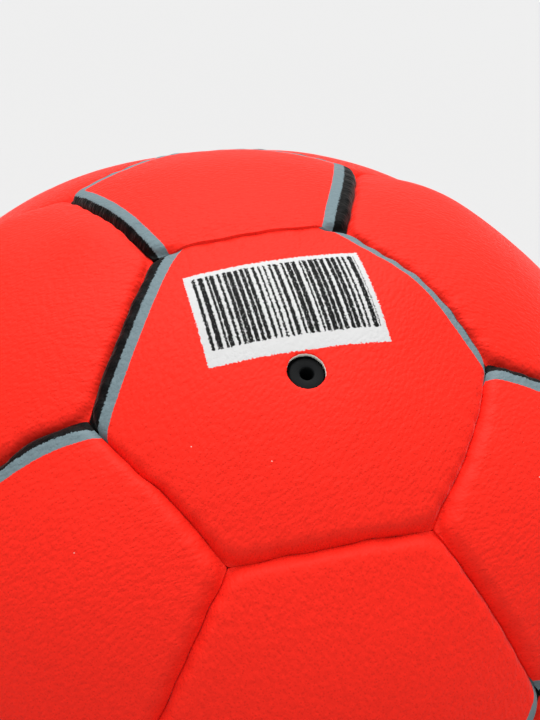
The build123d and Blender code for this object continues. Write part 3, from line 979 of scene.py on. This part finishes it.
class HANDBALL_OT_valve(HandballOperator, bpy.types.Operator):
    """Turns the push-in rubber plug about its own axis"""

    bl_idname = "handball.valve"
    bl_label = "Valve Plug"

    def execute(self, context):
        valve = context.scene.handball_valve
        bm = bmesh.new()
        low, high = self.heights(valve)
        bore = NEEDLE_BORE["dims"]["r_mm"] * MM
        bore_end = high - NEEDLE_BORE["dims"]["length_mm"] * MM
        head, stem = valve.head_diameter / 2, valve.stem_diameter / 2
        face = valve.face_diameter / 2
        shoulder = high - valve.head_thickness
        outline = [
            (0, bore_end),
            (bore, bore_end),
            (bore, high - 0.3 * MM),
            (bore + 0.1 * MM, high - 0.06 * MM),
            (bore + 0.25 * MM, high),
            (face - 0.1 * MM, high),
            (face, high - 0.03 * MM),
            (face + 0.06 * MM, high - 0.1 * MM),
            (head - 0.05 * MM, high - 0.4 * MM),
            (head, high - 0.46 * MM),
            (head, shoulder + 0.1 * MM),
            (head - 0.1 * MM, shoulder),
            (stem, shoulder),
            (stem, low + 0.7 * MM),
            (stem - 0.1 * MM, low + 0.5 * MM),
            (stem - 0.5 * MM, low + 0.1 * MM),
            (stem - 0.7 * MM, low),
            (0, low),
        ]
        verts = [bm.verts.new((r, 0, z)) for r, z in outline]
        edges = [bm.edges.new(pair) for pair in zip(verts, verts[1:])]
        bmesh.ops.spin(
            bm, geom=verts + edges, cent=(0, 0, 0), axis=(0, 0, 1), angle=2 * pi, steps=72, use_merge=True
        )
        bmesh.ops.remove_doubles(bm, verts=bm.verts, dist=MERGE_DISTANCE)
        bmesh.ops.recalc_face_normals(bm, faces=bm.faces)
        self.stand_on_axis(bm)
        mesh = mesh_from(bm, "valve_plug")
        mesh.shade_smooth()
        mesh.set_sharp_from_angle(angle=radians(50))
        piece = in_scene("valve_plug", mesh)
        mesh.materials.append(rubber_finish("valve_rubber_black", valve.rubber))
        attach(piece, VALVE_BODY)
        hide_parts("valve_core")
        return {"FINISHED"}

    def heights(self, valve):
        """Lowest and highest point of the plug along the valve's axis."""
        points = np.array([v.co for v in frame["nodes"]["valve_core"].data.vertices])
        along = (points - NEEDLE_AXIS_POINT) @ VALVE_AXIS
        return float(along.min()), float(along.max())

    def stand_on_axis(self, bm):
        """Moves a shape that was turned about Z onto the valve's axis."""
        stand = Vector((0, 0, 1)).rotation_difference(Vector(VALVE_AXIS)).to_matrix()
        bmesh.ops.rotate(bm, verts=bm.verts, matrix=stand)
        bmesh.ops.translate(bm, verts=bm.verts, vec=NEEDLE_AXIS_POINT)


class HANDBALL_OT_threads(HandballOperator, bpy.types.Operator):
    """Sews the seams: one length of waxed thread for each half and one that closes the two"""

    bl_idname = "handball.threads"
    bl_label = "Threads"

    def execute(self, context):
        shape = context.scene.handball_shape
        finish = woven_finish("waxed_thread", (0.06, 0.055, 0.05), 0.3 * MM)
        stitches = self.stitches(shape)
        seams = {"upper_half_thread": [], "lower_half_thread": [], "closing_thread": []}
        for place in panel_places().values():
            for turn, beyond in zip(place.edge_turns, place.neighbours):
                if beyond > place.index:
                    above = [PANEL_AXES[index][2] > 0 for index in (place.index, beyond)]
                    half = "closing_thread" if any(above) else "lower_half_thread"
                    half = "upper_half_thread" if all(above) else half
                    seams[half].append(stitches @ self.seam_frame(place, turn))
        for node, paths in seams.items():
            self.sew(node, paths, shape, finish)
        return {"FINISHED"}

    def stitches(self, shape):
        """Running stitch of one seam, in a frame with X along it, Y across it and Z outwards."""
        step = shape.stitch_pitch / shape.stitch_radius
        tail = shape.thread_tail / shape.stitch_radius
        first = -step * (shape.stitch_count - 1) / 2
        side = shape.thread_inset
        stops = [(first - tail, side)]
        for k in range(shape.stitch_count):
            stops += [(first + step * k, side), (first + step * k, -side)]
            side = -side
        stops.append((tail - first, side))
        radius = shape.stitch_radius
        corners = np.array([(radius * sin(a), across, radius * cos(a)) for a, across in stops])
        path = [corners[0]]
        for before, corner, after in zip(corners, corners[1:], corners[2:]):
            start = corner + unit(before - corner) * shape.thread_bend
            end = corner + unit(after - corner) * shape.thread_bend
            for t in (0, 1 / 3, 2 / 3, 1):
                path.append((1 - t) ** 2 * start + 2 * t * (1 - t) * corner + t**2 * end)
        return np.array(path + [corners[-1]])

    def seam_frame(self, place, turn):
        """Rows along, across and out of the seam at one edge of a panel."""
        spread = tan(place.half_angle)
        out = unit(np.array([cos(turn) * spread, sin(turn) * spread, 1]) @ place.frame)
        along = np.array([-sin(turn), cos(turn), 0]) @ place.frame
        return np.array([along, np.cross(out, along), out])

    def sew(self, node, paths, shape, finish):
        """One length of thread along its paths, in place of its node."""
        line = bpy.data.curves.new(node, "CURVE")
        line.dimensions = "3D"
        line.bevel_depth = shape.thread_diameter / 2
        line.bevel_resolution = 1
        line.use_fill_caps = True
        for path in paths:
            spline = line.splines.new("POLY")
            spline.points.add(len(path) - 1)
            spline.points.foreach_set("co", np.column_stack([path, np.ones(len(path))]).ravel())
        drawn = bpy.data.objects.new(node, line)
        mesh = bpy.data.meshes.new_from_object(drawn)
        bpy.data.objects.remove(drawn)
        bpy.data.curves.remove(line)
        mesh.materials.clear()
        mesh.materials.append(finish)
        piece = in_scene("sewn_" + node, mesh)
        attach(piece, BALL_BODY)
        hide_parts(node)


class HANDBALL_OT_foam(HandballOperator, bpy.types.Operator):
    """Draws the foam pads along with the seams of the panels above them"""

    bl_idname = "handball.foam"
    bl_label = "Foam Pads"

    def execute(self, context):
        radius = context.scene.handball_shape.ball_diameter / 2
        finish = foam_finish()
        for node in [name for name in sorted(frame["nodes"]) if "foam" in name]:
            bm = bmesh.new()
            bm.from_mesh(frame["nodes"][node].data)
            bmesh.ops.remove_doubles(bm, verts=bm.verts, dist=MERGE_DISTANCE)
            points = np.array([v.co for v in bm.verts])
            outwards = points / np.linalg.norm(points, axis=1)[:, None]
            for vert, point in zip(bm.verts, points + seam_drift(outwards, radius)):
                vert.co = point
            mesh = mesh_from(bm, "drawn_" + node)
            mesh.materials.clear()
            mesh.materials.append(finish)
            mesh.shade_smooth()
            mesh.set_sharp_from_angle(angle=radians(40))
            piece = in_scene("drawn_" + node, mesh)
            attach(piece, BALL_BODY)
            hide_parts(node)
        return {"FINISHED"}


class HANDBALL_OT_layers(HandballOperator, bpy.types.Operator):
    """Gives the linings, the bladder and the valve seat their finishes"""

    bl_idname = "handball.layers"
    bl_label = "Inner Layers"

    def execute(self, context):
        finishes = {
            "lining": woven_finish("lining_cloth", (0.62, 0.57, 0.46), 0.5 * MM),
            "patch": woven_finish("patch_cloth", (0.55, 0.50, 0.40), 0.4 * MM),
            "bladder": rubber_finish("bladder_rubber", (0.05, 0.05, 0.055)),
            "seat": rubber_finish("seat_rubber", (0.03, 0.03, 0.033)),
        }
        for node, part in frame["nodes"].items():
            for word, finish in finishes.items():
                if word in node:
                    part.data.materials.clear()
                    part.data.materials.append(finish)
        return {"FINISHED"}


class HANDBALL_OT_studio(HandballOperator, bpy.types.Operator):
    """Sets the pale floor, the soft lights and the camera"""

    bl_idname = "handball.studio"
    bl_label = "Studio"

    def execute(self, context):
        studio = context.scene.handball_studio
        self.floor(studio)
        self.lights(context, studio)
        self.camera(context, studio)
        context.scene.view_settings.view_transform = "Standard"
        return {"FINISHED"}

    def floor(self, studio):
        """Wide pale floor under the ball."""
        bm = bmesh.new()
        bmesh.ops.create_circle(bm, cap_ends=True, segments=96, radius=FLOOR_RADIUS)
        bmesh.ops.translate(bm, verts=bm.verts, vec=(0, 0, CAD_BOX[0].z))
        mesh = mesh_from(bm, "floor")
        sheet = NodeSheet("floor_pale")
        place = sheet.place()
        tone = sheet.noise(place, 3.0, 2.0)
        near = tuple(channel * 0.985 for channel in studio.floor)
        sheet.shade({"Base Color": sheet.mix(tone, near, studio.floor), "Roughness": 0.8})
        mesh.materials.append(sheet.material)
        floor = in_scene("floor", mesh)

    def lights(self, context, studio):
        """White surroundings, a wide soft light overhead and a weaker one from the front."""
        world = bpy.data.worlds.new("surroundings")
        context.scene.world = world
        world.use_nodes = True
        tree = world.node_tree
        ground = tree.nodes["Background"]
        ground.inputs["Strength"].default_value = SURROUNDINGS_STRENGTH
        seen = tree.nodes.new("ShaderNodeBackground")
        seen.inputs["Color"].default_value = (*studio.backdrop, 1)
        path = tree.nodes.new("ShaderNodeLightPath")
        choose = tree.nodes.new("ShaderNodeMixShader")
        ground.inputs["Color"].default_value = (1, 1, 1, 1)
        tree.links.new(path.outputs["Is Camera Ray"], choose.inputs["Fac"])
        tree.links.new(ground.outputs["Background"], choose.inputs[1])
        tree.links.new(seen.outputs["Background"], choose.inputs[2])
        tree.links.new(choose.outputs["Shader"], tree.nodes["World Output"].inputs["Surface"])
        for name, towards, spread, strength in SOFT_LIGHTS:
            self.soft_light(name, towards, radians(spread), strength)

    def soft_light(self, name, towards, spread, strength):
        """One distant light that is as wide as a soft box, seen from the ball."""
        lamp = bpy.data.lights.new(name, "SUN")
        lamp.angle = spread
        lamp.energy = strength
        holder = in_scene(name, lamp)
        holder.rotation_euler = Vector(towards).to_track_quat("Z", "Y").to_euler()

    def camera(self, context, studio):
        """Camera above the ball's front, close to the valve panel."""
        lens = bpy.data.cameras.new("camera")
        lens.lens = studio.lens
        lens.sensor_width = SENSOR_WIDTH
        lens.clip_start = 0.01
        holder = in_scene("camera", lens)
        aim = Matrix.Rotation(-studio.camera_heading, 4, "Z")
        aim = aim @ Matrix.Rotation(pi / 2 - studio.camera_dip, 4, "X")
        aim = aim @ Matrix.Rotation(studio.camera_roll, 4, "Z")
        holder.matrix_world = Matrix.Translation(Vector(studio.camera_at)) @ aim
        context.scene.camera = holder


class HANDBALL_PT_sidebar(bpy.types.Panel):
    """Lists the steps that dress the ball"""

    bl_idname = "HANDBALL_PT_sidebar"
    bl_label = "Handball"
    bl_space_type = "VIEW_3D"
    bl_region_type = "UI"
    bl_category = "Handball"

    def draw(self, context):
        for step in STEPS:
            self.layout.operator(step.bl_idname)


GROUPS = {
    "handball_shape": CoverShape,
    "handball_finish": CoverFinish,
    "handball_block": PrintedBlock,
    "handball_valve": ValveShape,
    "handball_studio": StudioSetup,
}
STEPS = (
    HANDBALL_OT_covers,
    HANDBALL_OT_valve,
    HANDBALL_OT_threads,
    HANDBALL_OT_foam,
    HANDBALL_OT_layers,
    HANDBALL_OT_studio,
)


def register():
    """Makes the settings, the steps and their panel known."""
    for group in (*GROUPS.values(), *STEPS, HANDBALL_PT_sidebar):
        bpy.utils.register_class(group)
    for name, group in GROUPS.items():
        setattr(bpy.types.Scene, name, PointerProperty(type=group))


def unregister():
    """Takes them away again."""
    for name in GROUPS:
        delattr(bpy.types.Scene, name)
    for group in reversed((*GROUPS.values(), *STEPS, HANDBALL_PT_sidebar)):
        bpy.utils.unregister_class(group)


def main():
    """Runs every step in order."""
    register()
    bpy.ops.handball.covers()
    bpy.ops.handball.valve()
    bpy.ops.handball.threads()
    bpy.ops.handball.foam()
    bpy.ops.handball.layers()
    bpy.ops.handball.studio()


if __name__ == "__main__":
    main()
